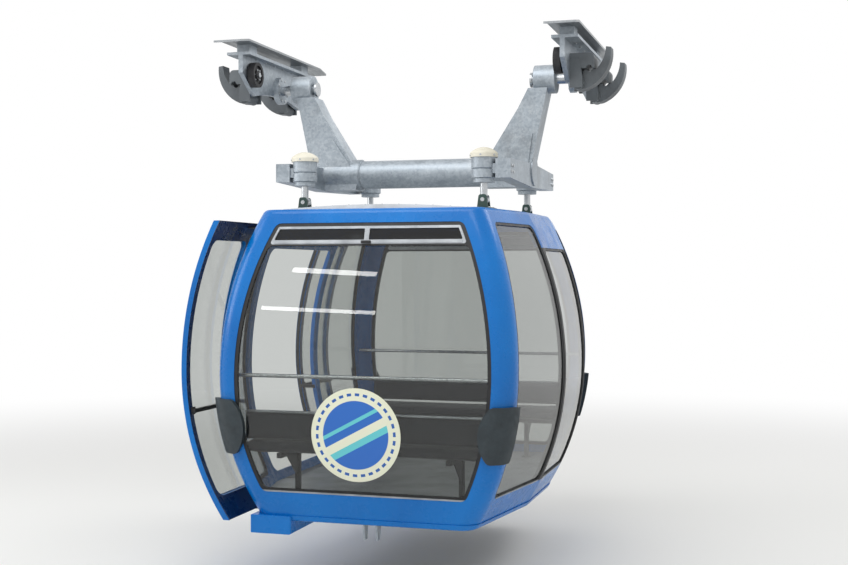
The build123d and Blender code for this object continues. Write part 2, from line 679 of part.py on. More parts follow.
# Plates on top that the station tyres drive, turned down a little at both ends
ramp_start = plate_half - plate_ramp
plate_line = Polyline((-plate_half, plate_h - plate_dip), (-ramp_start, plate_h), (ramp_start, plate_h),
                      (plate_half, plate_h - plate_dip))
plate_line = plate_line + Polyline(
    (plate_half, plate_h - plate_dip), (plate_half, plate_h - plate_dip + plate_t),
    (ramp_start, plate_h + plate_t), (-ramp_start, plate_h + plate_t),
    (-plate_half, plate_h - plate_dip + plate_t), (-plate_half, plate_h - plate_dip))
plate = Pos(flange_x, 0, rope_height) * extrude(
    Plane.YZ * make_face(plate_line), amount=plate_w / 2, both=True)
parts["friction_plate_r"] = plate
parts["friction_plate_l"] = mirror(plate, Plane.YZ)

# Running wheels and grip levers, one body each
rim_r, hub_r = wheel_d / 2, wheel_hub_d / 2
bore_r = axle_d / 2 + running_clearance
half_w, half_web = wheel_w / 2, wheel_web_w / 2
wheel_line = [(bore_r, -half_w), (hub_r, -half_w), (hub_r, -half_web), (rim_r - wheel_rim_t, -half_web),
              (rim_r - wheel_rim_t, -half_w), (rim_r, -half_w)]
wheel_line = wheel_line + [(x, -z) for x, z in reversed(wheel_line)]
px, pz = lever_pivot_x, lever_pivot_z
lever_back = ThreePointArc((px + 60, pz - 46), (px + 205, pz + 62), (px + 268, pz + 290))
lever_tip = Polyline((px + 268, pz + 290), (px + 226, pz + 296))
lever_front = ThreePointArc((px + 226, pz + 296), (px + 196, pz + 180), (px + 146, pz + 112))
lever_rest = Polyline((px + 146, pz + 112), (px + 46, pz + 112), (px + 20, pz + 40), (px, pz - barrel_d / 2),
                      (px + 60, pz - 46))
lever_flat = make_face(lever_back + lever_tip + lever_front + lever_rest)
for end, y_sign in (("f", -1), ("r", 1)):
    wheel = turned(wheel_line, Pos(0, 0, 0))
    wheel = Pos(axle_x, y_sign * wheel_y, wheel_z) * Rot(0, 90, 0) * wheel
    parts[f"wheel_{end}r"] = at_rope * wheel
    parts[f"wheel_{end}l"] = mirror(parts[f"wheel_{end}r"], Plane.YZ)
    lever = extrude(Plane.XZ * lever_flat, amount=lever_t / 2, both=True)
    lever = lever + Pos(px, 0, pz) * Rot(90, 0, 0) * Cylinder(barrel_d / 2, barrel_len)
    lever = lever - Pos(px, 0, pz) * Rot(90, 0, 0) * Cylinder(pin_d / 2 + running_clearance, 2 * barrel_len)
    lever = Pos(0, y_sign * grip_y, 0) * lever - rope
    parts[f"grip_{end}r"] = at_rope * lever
    parts[f"grip_{end}l"] = mirror(parts[f"grip_{end}r"], Plane.YZ)

# Move all of it so that the left rope's axis is the origin, and write it out
place = Pos(rope_gauge / 2, 0, -rope_height)
os.makedirs("parts", exist_ok=True)
for name, shape in parts.items():
    export_step(place * shape, f"parts/{name}.step")
    print(name, len(shape.solids()), round(shape.volume / 1e6, 1), "litres")
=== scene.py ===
import json
import math
import bpy
import bmesh
from itertools import product
from mathutils import Matrix, Vector
from mathutils.bvhtree import BVHTree


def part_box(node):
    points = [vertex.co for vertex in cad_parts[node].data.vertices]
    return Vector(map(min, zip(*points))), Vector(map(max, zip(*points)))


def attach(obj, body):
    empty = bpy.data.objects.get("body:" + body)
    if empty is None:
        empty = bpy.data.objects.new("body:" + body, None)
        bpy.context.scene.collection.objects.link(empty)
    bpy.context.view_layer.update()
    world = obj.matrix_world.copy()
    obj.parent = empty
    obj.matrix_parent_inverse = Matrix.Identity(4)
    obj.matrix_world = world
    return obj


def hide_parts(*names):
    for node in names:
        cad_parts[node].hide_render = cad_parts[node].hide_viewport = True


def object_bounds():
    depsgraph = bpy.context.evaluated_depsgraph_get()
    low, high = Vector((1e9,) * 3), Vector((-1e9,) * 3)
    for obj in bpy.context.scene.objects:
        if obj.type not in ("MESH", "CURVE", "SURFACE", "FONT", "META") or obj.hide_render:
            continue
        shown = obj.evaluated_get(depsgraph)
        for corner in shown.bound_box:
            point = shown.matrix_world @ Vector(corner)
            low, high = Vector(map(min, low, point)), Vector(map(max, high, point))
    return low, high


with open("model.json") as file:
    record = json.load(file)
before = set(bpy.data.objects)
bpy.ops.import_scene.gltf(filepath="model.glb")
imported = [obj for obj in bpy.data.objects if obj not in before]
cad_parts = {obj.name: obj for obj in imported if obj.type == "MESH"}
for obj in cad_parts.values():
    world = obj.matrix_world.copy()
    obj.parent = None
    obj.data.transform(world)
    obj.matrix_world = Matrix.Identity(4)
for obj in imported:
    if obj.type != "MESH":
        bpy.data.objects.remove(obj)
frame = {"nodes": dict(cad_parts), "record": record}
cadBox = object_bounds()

nodes = frame["nodes"]
record = frame["record"]
mounts = {mount["name"]: mount for mount in record["mounts"]}
middle = mounts["rope_right"]["pos_m"][0] / 2      # the cabin's middle plane, across
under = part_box("sill_frame")[0].z                  # height of the cabin's underside
signs = (-1, 1)                                    # left and right, or front and rear
scene = bpy.context.scene
scene.view_settings.view_transform = "Standard"
print("frame loaded:", len(nodes), "nodes")


# shader helpers

def linear(code):
    # sRGB hex to the linear colour that sockets take
    parts = [int(code[i:i + 2], 16) / 255 for i in (1, 3, 5)]
    return [c / 12.92 if c <= 0.04045 else ((c + 0.055) / 1.055) ** 2.4 for c in parts] + [1]


def addNode(tree, kind, values=None, links=None, **settings):
    # one node with its settings, its socket values and what feeds each socket
    node = tree.nodes.new(kind)
    for key, value in settings.items():
        setattr(node, key, value)
    for key, value in (values or {}).items():
        node.inputs[key].default_value = value
    for key, source in (links or {}).items():
        tree.links.new(source, node.inputs[key])
    return node


def calculate(tree, operation, *terms):
    # a maths node whose terms are sockets or plain numbers
    node = addNode(tree, "ShaderNodeMath", operation=operation)
    for socket, term in zip(node.inputs, terms):
        if isinstance(term, (int, float)):
            socket.default_value = term
        else:
            tree.links.new(term, socket)
    return node.outputs[0]


def ramp(tree, source, stops):
    # a ramp of colours, or of greys where the stops are plain numbers
    node = addNode(tree, "ShaderNodeValToRGB", links={"Fac": source})
    while len(node.color_ramp.elements) < len(stops):
        node.color_ramp.elements.new(0.5)
    for element, (at, colour) in zip(node.color_ramp.elements, stops):
        element.position = at
        element.color = colour if isinstance(colour, list) else [colour, colour, colour, 1]
    return node.outputs["Color"]


def blend(tree, factor, base, code):
    # the base where the factor is 0, and one plain colour where it is 1
    return addNode(tree, "ShaderNodeMix", {7: linear(code)}, {"Factor": factor, 6: base},
                   data_type="RGBA").outputs[2]


def noiseOf(tree, place, size, detail, rough=0.5, stretch=(1, 1, 1)):
    # size is the pattern's rough period in metres
    mapping = addNode(tree, "ShaderNodeMapping", {"Scale": stretch}, {"Vector": place})
    values = {"Scale": 1 / size, "Detail": detail, "Roughness": rough}
    return addNode(tree, "ShaderNodeTexNoise", values,
                   {"Vector": mapping.outputs["Vector"]}).outputs["Fac"]


def waves(tree, place, scale, distortion, ways):
    # a row of soft bars along each way
    return [addNode(tree, "ShaderNodeTexWave", {"Scale": scale, "Distortion": distortion},
                    {"Vector": place}, bands_direction=way).outputs["Fac"] for way in ways]


def startMaterial(name, rough, metal=0.0, coat=0.0, coatRough=0.1):
    material = bpy.data.materials.new(name)
    material.use_nodes = True
    tree = material.node_tree
    shader = tree.nodes["Principled BSDF"]
    shader.inputs["Roughness"].default_value = rough
    shader.inputs["Metallic"].default_value = metal
    shader.inputs["Coat Weight"].default_value = coat
    shader.inputs["Coat Roughness"].default_value = coatRough
    place = addNode(tree, "ShaderNodeTexCoord").outputs["Object"]
    return material, tree, shader, place


def colourFrom(tree, shader, factor, low, high, start=0.3, end=0.7):
    colour = ramp(tree, factor, [(start, linear(low)), (end, linear(high))])
    tree.links.new(colour, shader.inputs["Base Color"])
    return colour


def roughFrom(tree, shader, factor, low, high, start=0.3, end=0.7):
    tree.links.new(ramp(tree, factor, [(start, low), (end, high)]), shader.inputs["Roughness"])


def bumpFrom(tree, shader, height, distance, strength):
    bump = addNode(tree, "ShaderNodeBump", {"Strength": strength, "Distance": distance},
                   {"Height": height})
    tree.links.new(bump.outputs["Normal"], shader.inputs["Normal"])


def mixShaders(tree, factor, first, second, output):
    mix = addNode(tree, "ShaderNodeMixShader", links={"Fac": factor, 1: first, 2: second})
    tree.links.new(mix.outputs["Shader"], tree.nodes[output].inputs["Surface"])


# materials

# the navy colour is painted shade for faces that look into the cabin
bluePaintValues = {"dark": "#0058A4", "light": "#067ACC", "shadeColour": "#0B2A55",
                   "rough": 0.3, "shine": 0.25}


def bluePaint(name, paintedShadeInside=False):
    # gloss two-pack paint on aluminium: deep blue, a thin clear coat and slight orange peel
    material, tree, shader, place = startMaterial(
        name, rough=bluePaintValues["rough"], coat=0.15, coatRough=0.06)
    shader.inputs["Specular IOR Level"].default_value = bluePaintValues["shine"]
    blue = colourFrom(tree, shader, noiseOf(tree, place, size=0.9, detail=4),
                      bluePaintValues["dark"], bluePaintValues["light"], start=0.2, end=0.75)
    if paintedShadeInside:
        # painted shade: faces that look into the cabin get a navy colour that stands in for the
        # shadow there
        facing = addNode(tree, "ShaderNodeTexCoord").outputs["Normal"]
        sideways = addNode(tree, "ShaderNodeSeparateXYZ", links={0: facing}).outputs["X"]
        shadeMask = ramp(tree, sideways, [(0.3, 0.0), (0.4, 1.0)])
        blueAndPaintedShade = blend(tree, shadeMask, blue, bluePaintValues["shadeColour"])
        tree.links.new(blueAndPaintedShade, shader.inputs["Base Color"])
    smears = noiseOf(tree, place, size=0.12, detail=6, rough=0.65)
    roughFrom(tree, shader, smears, low=0.2, high=0.42, start=0.35, end=0.7)
    peel = noiseOf(tree, place, size=0.012, detail=2)
    bumpFrom(tree, shader, peel, distance=0.0004, strength=0.12)
    return material


glassValues = {"tint": "#C3C6C4", "dark": "#3A3D40", "darkRough": 0.08, "ior": 1.46}


def glass(name, tint, rough=0.0):
    # toughened tinted glass: soft grey, clear to look through, with a light shadow
    material, tree, shader, _ = startMaterial(name, rough)
    shader.inputs["Base Color"].default_value = linear(tint)
    shader.inputs["Transmission Weight"].default_value = 1
    shader.inputs["IOR"].default_value = glassValues["ior"]
    clear = addNode(tree, "ShaderNodeBsdfTransparent", {"Color": linear(tint)})
    shadowRay = addNode(tree, "ShaderNodeLightPath").outputs["Is Shadow Ray"]
    mixShaders(tree, shadowRay, shader.outputs["BSDF"], clear.outputs["BSDF"], "Material Output")
    return material


def brushedMetal(name, low, high, rough, stretch, size=0.004):
    # brushed metal: fine lines along one way that spread the highlight
    material, tree, shader, place = startMaterial(name, rough, metal=1)
    lines = noiseOf(tree, place, size, detail=4, rough=0.6, stretch=stretch)
    colourFrom(tree, shader, noiseOf(tree, place, size=0.15, detail=4), low, high)
    roughFrom(tree, shader, lines, rough - 0.08, rough + 0.12)
    bumpFrom(tree, shader, lines, distance=0.0002, strength=0.25)
    return material


def treadPlate():
    # aluminium tread plate: short raised bars in checks of 30 mm, turned by quarters
    material, tree, shader, place = startMaterial("treadPlate", rough=0.42, metal=1)
    colourFrom(tree, shader, noiseOf(tree, place, size=0.2, detail=5), "#7E8284", "#A4A8AA")
    turned = addNode(tree, "ShaderNodeMapping", {
        "Scale": (1, 1, 0), "Rotation": (0, 0, math.radians(45))}, {"Vector": place})
    turned = turned.outputs["Vector"]
    checks = addNode(tree, "ShaderNodeTexChecker", {"Scale": 33}, {"Vector": turned})
    across, along = waves(tree, turned, scale=21, distortion=0, ways="XY")
    bars = addNode(tree, "ShaderNodeMix", links={
        "Factor": checks.outputs["Fac"], 2: across, 3: along})
    raised = ramp(tree, bars.outputs[0], [(0.55, 0.0), (0.8, 1.0)])
    bumpFrom(tree, shader, raised, distance=0.0018, strength=0.7)
    return material


def galvanised():
    # hot-dip galvanised steel: zinc crystals about 18 mm across, dull blue-grey, with stains
    material, tree, shader, place = startMaterial("galvanisedSteel", rough=0.5, metal=0.75)
    cells = addNode(tree, "ShaderNodeTexVoronoi", {"Scale": 55, "Randomness": 1},
                    {"Vector": place})
    spangle = addNode(tree, "ShaderNodeSeparateColor", links={"Color": cells.outputs["Color"]})
    cloud = noiseOf(tree, place, size=0.22, detail=6, rough=0.62)
    zinc = addNode(tree, "ShaderNodeMix", {"Factor": 0.78}, {
        2: spangle.outputs["Red"], 3: cloud}).outputs[0]
    base = ramp(tree, zinc, [
        (0.2, linear("#7F8890")), (0.55, linear("#A3ABB2")), (0.8, linear("#BFC5C9"))])
    stain = noiseOf(tree, place, size=0.5, detail=7, rough=0.7, stretch=(1, 1, 0.4))
    stained = blend(tree, ramp(tree, stain, [(0.55, 0.0), (0.78, 0.5)]), base, "#6B675F")
    tree.links.new(stained, shader.inputs["Base Color"])
    roughFrom(tree, shader, zinc, low=0.38, high=0.62)
    runs = noiseOf(tree, place, size=0.03, detail=4)
    bumpFrom(tree, shader, runs, distance=0.0008, strength=0.25)
    return material


def paintedMetal(name, low, high, rough, grain=0.002, coat=0.0, dirt="#5C5A55", dirtAmount=0.25):
    # powder-coated or brushed-on paint: even colour, fine grain, and some dust in patches
    material, tree, shader, place = startMaterial(name, rough, coat=coat)
    shade = noiseOf(tree, place, size=0.3, detail=4)
    base = ramp(tree, shade, [(0.3, linear(low)), (0.7, linear(high))])
    patch = noiseOf(tree, place, size=0.4, detail=7, rough=0.7)
    dusty = blend(tree, ramp(tree, patch, [(0.5, 0.0), (0.8, dirtAmount)]), base, dirt)
    tree.links.new(dusty, shader.inputs["Base Color"])
    roughFrom(tree, shader, patch, rough - 0.06, rough + 0.15)
    bumpFrom(tree, shader, noiseOf(tree, place, grain, detail=2), distance=0.0003, strength=0.3)
    return material


def rubber(name, low, high, rough):
    # moulded rubber: matt and slightly chalky, with scuffs
    material, tree, shader, place = startMaterial(name, rough)
    colourFrom(tree, shader, noiseOf(tree, place, size=0.08, detail=6, rough=0.65), low, high)
    scuffs = noiseOf(tree, place, size=0.05, detail=5, rough=0.6)
    roughFrom(tree, shader, scuffs, rough - 0.15, rough + 0.08)
    grain = noiseOf(tree, place, size=0.004, detail=3)
    bumpFrom(tree, shader, grain, distance=0.0005, strength=0.35)
    return material


def seatCloth():
    # woven seat cloth: threads 3 mm apart so that they show from here, dark grey, light flecks
    material, tree, shader, place = startMaterial("seatCloth", rough=0.88)
    shader.inputs["Sheen Weight"].default_value = 0.25
    across, along = waves(tree, place, scale=52, distortion=0.6, ways="XZ")
    weave = addNode(tree, "ShaderNodeMix", {"Factor": 0.5}, {2: across, 3: along}).outputs[0]
    fleck = noiseOf(tree, place, size=0.02, detail=4, rough=0.7)
    both = addNode(tree, "ShaderNodeMix", {"Factor": 0.55}, {2: weave, 3: fleck}).outputs[0]
    colour = ramp(tree, both, [
        (0.3, linear("#17191E")), (0.6, linear("#2A2D35")), (0.85, linear("#4A4E58"))])
    tree.links.new(colour, shader.inputs["Base Color"])
    bumpFrom(tree, shader, weave, distance=0.0008, strength=0.5)
    return material


def drivePlate():
    # aluminium plate polished by tyres: rubbed tracks along it
    material, tree, shader, place = startMaterial("wornPlate", rough=0.38, metal=0.9)
    tracks = noiseOf(tree, place, size=0.03, detail=5, rough=0.6, stretch=(1, 0.06, 1))
    colourFrom(tree, shader, tracks, "#868A8D", "#A3A7AA")
    roughFrom(tree, shader, tracks, low=0.5, high=0.38)
    bumpFrom(tree, shader, tracks, distance=0.0003, strength=0.3)
    return material


materials = {
    "blue_paint": bluePaint("bluePaint"),
    "tinted_glass": glass("tintedGlass", glassValues["tint"]),
    "dark_glass": glass("darkGlass", glassValues["dark"], glassValues["darkRough"]),
    "silver_trim": brushedMetal("anodisedTrim", "#8C9094", "#AEB2B6", rough=0.34,
                                stretch=(0.05, 0.05, 1)),
    "floor_cover": treadPlate(),
    "roof_white": paintedMetal("roofPaint", "#B7BCC0", "#CDD1D4", rough=0.5, grain=0.004,
                               dirt="#7F7C74", dirtAmount=0.5),
    "black_steel": paintedMetal("blackPowderCoat", "#0E0F11", "#1B1C1F", rough=0.42),
    "seat_cover": seatCloth(),
    "steel_rail": brushedMetal("stainlessRail", "#C4C7CA", "#DADCDE", rough=0.24,
                               stretch=(0.04, 1, 1)),
    "pad_rubber": rubber("padRubber", "#1C262B", "#2B363C", rough=0.55),
    "seal_rubber": rubber("sealRubber", "#0B0B0D", "#17181A", rough=0.55),
    "galvanised": galvanised(),
    "cream_cap": paintedMetal("creamPlastic", "#D8D3C0", "#E3DFD0", rough=0.46, grain=0.006,
                              coat=0.1, dirt="#A49C84", dirtAmount=0.35),
    "plate_aluminium": drivePlate(),
    "wheel_rubber": rubber("wheelRubber", "#141416", "#242427", rough=0.7),
    "cast_steel": paintedMetal("castSteelPaint", "#4E5357", "#6A7074", rough=0.55, grain=0.003,
                               dirt="#2E2B27", dirtAmount=0.5),
    "machined_steel": brushedMetal("machinedSteel", "#A7ABAE", "#C6C9CC", rough=0.28,
                                   stretch=(0.2, 1, 1), size=0.002),
    "green_bracket": paintedMetal("darkGreenPaint", "#12302C", "#1E423C", rough=0.4, grain=0.003,
                                  coat=0.15),
}
# the door leaves get painted shade: navy on their faces that look into the cabin
leafPaint = bluePaint("leafPaint", paintedShadeInside=True)
special = {"mullions": materials["black_steel"],
           "door_leaf_front": leafPaint, "door_leaf_rear": leafPaint}
slotOf = {part["node"]: part["material_slot"] for part in record["subparts"]}
for name, piece in nodes.items():
    for materialSlot in piece.material_slots:
        materialSlot.material = special.get(name, materials[slotOf[name]])
print("materials:", len(materials))


# camera, floor and lights

cameraValues = {"place": (4.86, -10.79, -1.66), "aim": (1.62, 0.0, -1.78),
                "lens": 53.0, "sensor": 36}
floorValues = {"below": 0.42, "half": 40.0, "clearFrom": 4.0, "clearTo": 16.0,
               "paper": "#ECECEA", "rough": 0.9}
lightValues = {
    "world": 0.62,
    "aimHigh": 1.5,            # what the lamps aim at, above the cabin's underside
    "lamps": [
        # name, place, size across and up, energy in watts
        ("topLight", (0.6, -5.0, 5.5), (7.0, 5.0), 390),
        ("leftLight", (-7.5, -4.0, 1.6), (4.0, 5.0), 230),
        ("stripHigh", (-2.0, -9.5, 2.2), (1.3, 0.22), 9),
        ("stripLow", (-2.0, -9.5, 0.35), (1.7, 0.16), 8),
        ("backLight", (7.5, 5.0, 5.0), (6.0, 4.0), 280),
    ],
}


def addObject(name, data):
    made = bpy.data.objects.new(name, data)
    bpy.context.collection.objects.link(made)
    return made


def aimAt(thing, place, target):
    # put a camera or a lamp in its place and point it
    thing.location = place
    toward = Vector(target) - Vector(place)
    thing.rotation_euler = toward.to_track_quat("-Z", "Y").to_euler()


def makeCamera():
    cameraData = bpy.data.cameras.new("camera")
    cameraData.lens = cameraValues["lens"]
    cameraData.sensor_width = cameraValues["sensor"]
    scene.camera = addObject("camera", cameraData)
    aimAt(scene.camera, cameraValues["place"], cameraValues["aim"])


def makeFloor():
    floorMesh = bpy.data.meshes.new("studioFloor")
    bm = bmesh.new()
    bmesh.ops.create_grid(bm, x_segments=1, y_segments=1, size=floorValues["half"])
    bmesh.ops.translate(bm, verts=bm.verts, vec=(middle, 0, cadBox[0].z - floorValues["below"]))
    bm.to_mesh(floorMesh)
    bm.free()
    floor = addObject("studioFloor", floorMesh)
    # matt pale paper, which clears to white far away
    material, tree, shader, place = startMaterial("paleFloor", floorValues["rough"])
    shader.inputs["Base Color"].default_value = linear(floorValues["paper"])
    centred = addNode(tree, "ShaderNodeMapping", {"Location": (-middle, 0, 0), "Scale": (1, 1, 0)},
                      {"Vector": place})
    far = addNode(tree, "ShaderNodeVectorMath", links={0: centred.outputs["Vector"]},
                  operation="LENGTH")
    fade = addNode(tree, "ShaderNodeMapRange", {
        "From Min": floorValues["clearFrom"], "From Max": floorValues["clearTo"]},
        {"Value": far.outputs["Value"]}, interpolation_type="SMOOTHSTEP")
    white = addNode(tree, "ShaderNodeEmission", {"Color": (1, 1, 1, 1), "Strength": 1})
    mixShaders(tree, fade.outputs["Result"], shader.outputs["BSDF"], white.outputs["Emission"],
               "Material Output")
    floor.data.materials.append(material)


def makeLamps():
    for name, place, size, energy in lightValues["lamps"]:
        lamp = bpy.data.lights.new(name, "AREA")
        lamp.shape = "RECTANGLE"
        lamp.size, lamp.size_y = size
        lamp.energy = energy
        aimAt(addObject(name, lamp), place, (middle, 0, under + lightValues["aimHigh"]))


def makeWorld():
    # soft light on matt faces, and plain white for the camera, metal and glass
    scene.world = bpy.data.worlds.new("studioWorld")
    scene.world.use_nodes = True
    tree = scene.world.node_tree
    soft = tree.nodes["Background"]
    soft.inputs["Color"].default_value = (1, 1, 1, 1)
    soft.inputs["Strength"].default_value = lightValues["world"]
    white = addNode(tree, "ShaderNodeBackground", {"Color": (1, 1, 1, 1), "Strength": 1})
    path = addNode(tree, "ShaderNodeLightPath")
    seen = path.outputs["Is Camera Ray"]
    for ray in ("Is Glossy Ray", "Is Transmission Ray"):
        seen = calculate(tree, "MAXIMUM", seen, path.outputs[ray])
    mixShaders(tree, seen, soft.outputs["Background"], white.outputs["Background"], "World Output")


makeCamera()
makeFloor()
makeLamps()
makeWorld()
print("camera, floor and lights")


# making pieces

meshValues = {"merge": 0.00002, "sharpFrom": math.radians(40)}
# how far off the surface, or from the cabin's middle, each kind of ray starts
rayValues = {"ahead": 4, "aside": 3, "beside": 1, "above": 0.5, "close": 0.3,
             "foot": 0.1, "flange": 0.2, "collar": 0.9}


def finishPiece(name, bm, materialSlot, body="cabin", material=None):
    mesh = bpy.data.meshes.new(name)
    bmesh.ops.remove_doubles(bm, verts=bm.verts, dist=meshValues["merge"])
    bmesh.ops.recalc_face_normals(bm, faces=bm.faces)
    for face in bm.faces:
        face.smooth = True
    for edge in bm.edges:
        if len(edge.link_faces) == 2 and edge.calc_face_angle(0) > meshValues["sharpFrom"]:
            edge.smooth = False
    bm.to_mesh(mesh)
    bm.free()
    piece = addObject(name, mesh)
    piece.data.materials.append(material or materials[materialSlot])
    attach(piece, body)
    return piece


def addBlock(bm, low, high, bevel, segments=2):
    # a box between two corners, with its edges rounded
    made = bmesh.ops.create_cube(bm, size=1)["verts"]
    size = [high[i] - low[i] for i in range(3)]
    bmesh.ops.scale(bm, verts=made, vec=size)
    bmesh.ops.translate(bm, verts=made, vec=[(high[i] + low[i]) / 2 for i in range(3)])
    edges = list({edge for vert in made for edge in vert.link_edges})
    bmesh.ops.bevel(bm, geom=edges, offset=bevel, segments=segments, profile=0.5,
                    affect="EDGES", material=-1)


boltValues = {
    "washer": 0.72,            # the washer's radius as a share of the head's width
    "washerHalf": 0.002, "washerSides": 16,
    "headFrom": 0.0015,        # the head starts inside the washer
    "edge": 0.001, "upward": 0.9,
    # width and height of each kind of head, and its number of sides
    "beam": (0.026, 0.009, 6), "foot": (0.018, 0.008, 6),
    "flange": (0.02, 0.009, 6), "collar": (0.018, 0.008, 6), "hub": (0.012, 0.004, 6),
    "rivet": (0.013, 0.004, 12), "ventScrew": (0.008, 0.002, 12),
    "screw": (0.012, 0.004, 12),
}
boltShapes = {}


def boltShape(kind):
    # a bolt head on its washer, about the origin, pointing up
    if kind not in boltShapes:
        across, tall, sides = boltValues[kind]
        half = boltValues["washerHalf"]
        bm = bmesh.new()
        for radius, low, high, count in (
                (across * boltValues["washer"], -half, half, boltValues["washerSides"]),
                (across / 2, boltValues["headFrom"], tall, sides)):
            made = bmesh.ops.create_cone(bm, cap_ends=True, segments=count, radius1=radius,
                                         radius2=radius, depth=high - low)["verts"]
            bmesh.ops.translate(bm, verts=made, vec=(0, 0, (low + high) / 2))
        tops = [face for face in bm.faces if face.normal.z > boltValues["upward"]]
        edges = list({edge for face in tops for edge in face.edges})
        bmesh.ops.bevel(bm, geom=edges, offset=boltValues["edge"], segments=1, profile=0.5,
                        affect="EDGES", material=-1)
        boltShapes[kind] = bpy.data.meshes.new("boltShape")
        bm.to_mesh(boltShapes[kind])
        bm.free()
    return boltShapes[kind]


def addBolt(bm, at, out, kind):
    count = len(bm.verts)
    bm.from_mesh(boltShape(kind))
    bm.verts.ensure_lookup_table()
    turn = Vector(out).to_track_quat("Z", "Y").to_matrix().to_4x4()
    bmesh.ops.transform(bm, matrix=Matrix.Translation(at) @ turn, verts=bm.verts[count:])


trees = {}


def hit(name, start, way):
    # where a ray first meets a node's surface, and the surface's direction there
    if name not in trees:
        bm = bmesh.new()
        bm.from_mesh(nodes[name].data)
        trees[name] = BVHTree.FromBMesh(bm)
        bm.free()
    point, normal, _, _ = trees[name].ray_cast(Vector(start), Vector(way).normalized())
    return point, normal


def boltAt(bm, name, start, way, kind, out=None):
    # a bolt where a ray meets a node, square to the surface or along a given direction
    point, normal = hit(name, start, way)
    if point:
        addBolt(bm, point, normal if out is None else out, kind)


def around(count, first=0.0):
    # angles in radians, evenly round a circle, from a first one given in degrees
    return [math.radians(360 / count * turn + first) for turn in range(count)]


def spread(low, high, count):
    return [low + (high - low) * i / (count - 1) for i in range(count)]


# bolts

damperValues = {"aside": 0.787, "along": 0.85,      # the dampers' centres, from the cabin's middle
                "lugs": ((-0.03, 0.03), (-0.025, 0.025)), "foot": 0.065,
                "capScrews": 6, "capTurn": 30, "screwHigh": 0.016}
carriageValues = {"flangeRow": (-0.5, -0.3, -0.1, 0.1, 0.3, 0.5), "flangeHalf": 0.045,
                  "downward": 0.5, "collar": 0.1, "collarBolts": 8, "collarTurn": 22.5,
                  "hub": 0.045, "hubBolts": 6}


def hangerBolts():
    aside, along = damperValues["aside"], damperValues["along"]
    bm = bmesh.new()
    # lug bolts beside each damper, on the beam's outer face
    low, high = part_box("damper_beams")
    for side, end, dy, dz in product(signs, signs, *damperValues["lugs"]):
        start = (middle + side * rayValues["aside"], end * (along + dy), (low.z + high.z) / 2 + dz)
        boltAt(bm, "damper_beams", start, (-side, 0, 0), "beam", (side, 0, 0))
    # bolts at the corners of the damper feet
    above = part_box("damper_brackets")[1].z + rayValues["foot"]
    foot = (-damperValues["foot"], damperValues["foot"])
    for side, end, dx, dy in product(signs, signs, foot, foot):
        start = (middle + side * aside + dx, end * along + dy, above)
        boltAt(bm, "damper_brackets", start, (0, 0, -1), "foot", (0, 0, 1))
    finishPiece("hangerBolts", bm, "machined_steel")


def carriageBolts():
    # bolts under the flanges that carry the drive plates, and round the pivot collars
    bm = bmesh.new()
    half = (-carriageValues["flangeHalf"], carriageValues["flangeHalf"])
    for side, letter in zip(signs, "lr"):
        plate, web = "friction_plate_" + letter, "carriage_" + letter
        low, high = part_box(plate)
        below = low.z - rayValues["flange"]
        for y, dx in product(carriageValues["flangeRow"], half):
            point, normal = hit(web, ((low.x + high.x) / 2 + dx, y, below), (0, 0, 1))
            if point and normal.z < -carriageValues["downward"]:
                addBolt(bm, point, (0, 0, -1), "flange")
        for a in around(carriageValues["collarBolts"], carriageValues["collarTurn"]):
            start = (middle + side * rayValues["collar"], carriageValues["collar"] * math.cos(a),
                     carriageValues["collar"] * math.sin(a))
            boltAt(bm, web, start, (side, 0, 0), "collar", (-side, 0, 0))
    finishPiece("carriageBolts", bm, "machined_steel", "carriages")


def hubBolts():
    # heads round each running wheel's axle, on the side away from the web
    for joint in record["behaviour"]["joints"]:
        if not joint["name"].startswith("wheel_"):
            continue
        body = joint["child"]
        centre = Vector(joint["pos_m"])
        side = -1 if centre.x > middle else 1
        bm = bmesh.new()
        for a in around(carriageValues["hubBolts"]):
            start = centre + Vector((side * rayValues["close"],
                                     carriageValues["hub"] * math.cos(a),
                                     carriageValues["hub"] * math.sin(a)))
            boltAt(bm, body, start, (-side, 0, 0), "hub", (side, 0, 0))
        finishPiece(body + "Bolts", bm, "machined_steel", body)


# the disc on the front pane: a generic ring with dashes round slanted bands

emblemValues = {
    "high": 0.72, "across": 0.735, "aside": -0.03, "proud": 0.0018, "under": 0.0004,
    "rings": 12, "segments": 96,
    "cream": "#E4E6CE", "blue": "#1464BE", "line": "#0F57A8", "band": "#5FC7CE", "slant": 28,
    # where each band starts, as a share of the disc's height
    "bands": [(0.0, "blue"), (0.37, "band"), (0.44, "cream"), (0.53, "blue"), (0.61, "band"),
              (0.65, "blue")],
    # the ring's inner edge, and the dashes' middle and half width, as shares of the radius
    "ring": 0.73, "ringBlur": 0.005, "dashMiddle": 0.865, "dashHalf": 0.03,
    "dashes": 30, "dashShare": 0.55,
}


